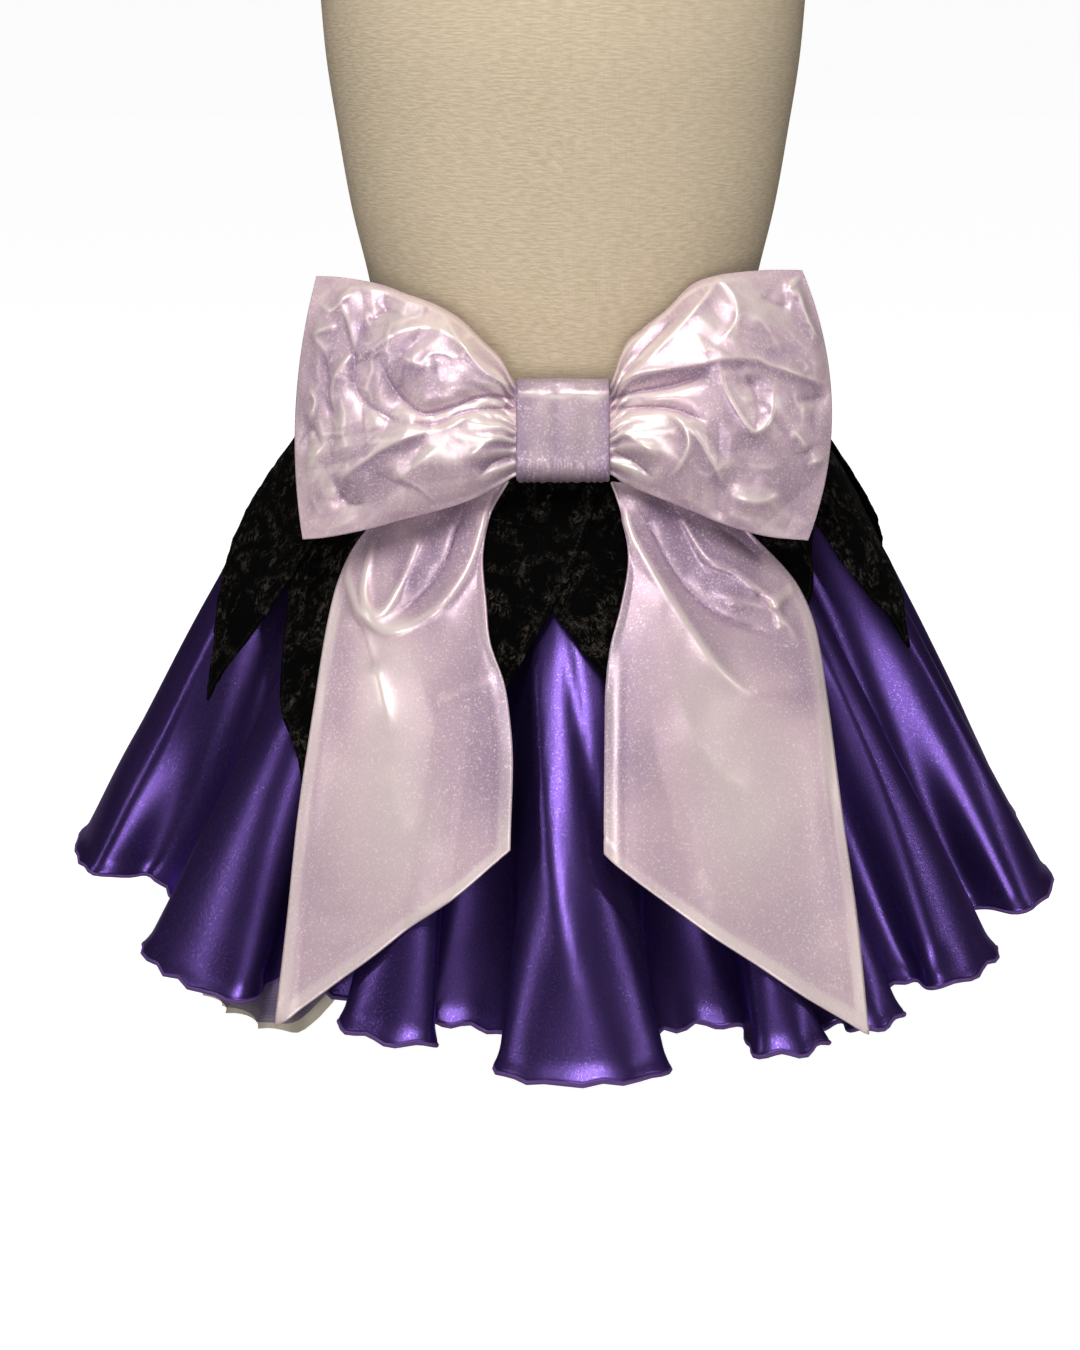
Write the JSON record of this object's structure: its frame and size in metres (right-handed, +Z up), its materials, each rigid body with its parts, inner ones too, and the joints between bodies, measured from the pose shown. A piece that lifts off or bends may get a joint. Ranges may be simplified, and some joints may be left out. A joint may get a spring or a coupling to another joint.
{
  "type": "tutu skirt on a dress form",
  "caption": "Flared satin tutu skirt with pointed velvet petals, a net petticoat and a large bow with hanging tails, displayed on a counter-top dress form.",
  "frame": {"origin": "centre of the underside of the dress form's round base, on the surface it stands on", "axes": "+Z up, -Y the side with the bow, +X to the right of someone who looks at the bow"},
  "size_m": [0.6644, 0.6801, 0.9463],
  "materials": {
    "form_linen": "plain linen cover, matt",
    "stand_wood": "dark stained, satin varnish",
    "stand_steel": "brushed",
    "waistband_cloth": "black elastic, matt",
    "petticoat_net": "fine purple net, see-through",
    "skirt_satin": "deep purple satin, glossy",
    "petal_velvet": "black crushed velvet",
    "bow_satin": "pale lilac satin, glossy"
  },
  "bodies": {
    "root": {"dress_form": "form_linen", "neck_cap": "stand_wood", "stand_base": "stand_wood", "stand_pole": "stand_steel", "waistband": "waistband_cloth", "petticoat": "petticoat_net", "skirt_front": "skirt_satin", "skirt_back": "skirt_satin", "petal_01": "petal_velvet", "petal_02": "petal_velvet", "petal_03": "petal_velvet", "petal_04": "petal_velvet", "petal_05": "petal_velvet", "petal_06": "petal_velvet", "petal_07": "petal_velvet", "petal_08": "petal_velvet", "petal_09": "petal_velvet", "petal_10": "petal_velvet", "petal_11": "petal_velvet", "petal_12": "petal_velvet", "bow_knot": "bow_satin", "bow_loop_left": "bow_satin", "bow_loop_right": "bow_satin", "bow_tail_left": "bow_satin", "bow_tail_right": "bow_satin"}
  },
  "joints": []
}
